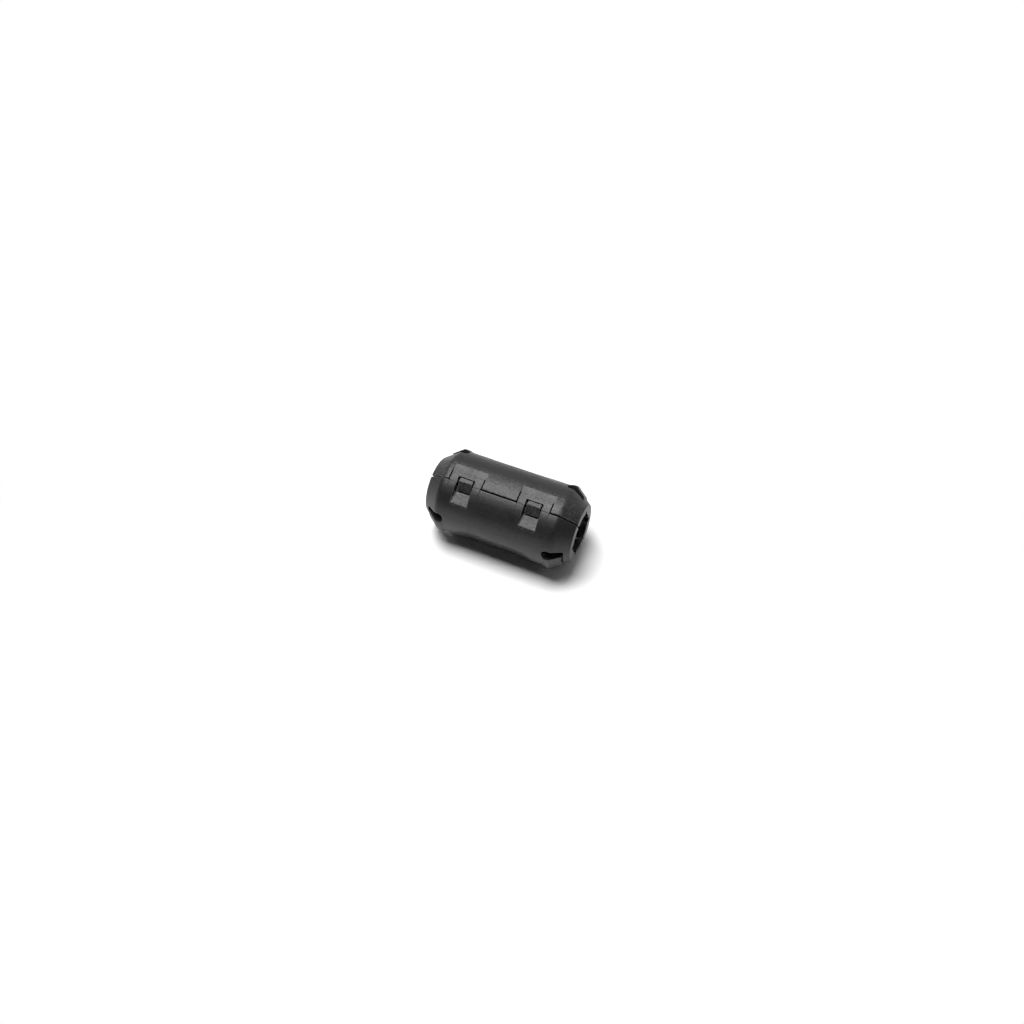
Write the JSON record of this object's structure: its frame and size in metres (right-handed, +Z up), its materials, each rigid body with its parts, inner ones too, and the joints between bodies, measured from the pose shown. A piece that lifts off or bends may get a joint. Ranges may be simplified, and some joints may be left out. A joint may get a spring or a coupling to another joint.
{
  "type": "clip on ferrite bead",
  "caption": "Split ferrite sleeve in a hinged, latched plastic case that snaps round a cable to suppress high-frequency noise.",
  "frame": {"origin": "on the cable bore's axis, at the middle of its length", "axes": "+X along the cable bore, +Z up as the closed bead lies on a surface, resting on the case wall and the hinge; the latches face -Y and up"},
  "size_m": [0.0368, 0.0204, 0.0198],
  "materials": {
    "case_plastic": "fine-grained black moulded nylon",
    "ferrite": "dark grey sintered ferrite with ground mating faces"
  },
  "bodies": {
    "lower_case": {"lower_case": "case_plastic", "lower_core": "ferrite", "hinge_bead": "case_plastic"},
    "upper_case": {"upper_case": "case_plastic", "upper_core": "ferrite"},
    "left_latch": {"left_latch_loop": "case_plastic"},
    "right_latch": {"right_latch_loop": "case_plastic"}
  },
  "joints": [
    {"name": "case_hinge", "type": "hinge", "parent": "lower_case", "child": "upper_case", "pos_m": [0, 0.00405, -0.00865], "axis": [-1, 0, 0], "range_deg": [0, 150]},
    {"name": "left_latch_flex", "type": "hinge", "parent": "lower_case", "child": "left_latch", "pos_m": [-0.009, -0.0067, 0.00729], "axis": [1, 0, 0], "range_deg": [0, 14], "stiffness_Nm_per_rad": 0.05},
    {"name": "right_latch_flex", "type": "hinge", "parent": "lower_case", "child": "right_latch", "pos_m": [0.008, -0.0067, 0.00729], "axis": [1, 0, 0], "range_deg": [0, 14], "stiffness_Nm_per_rad": 0.05}
  ]
}
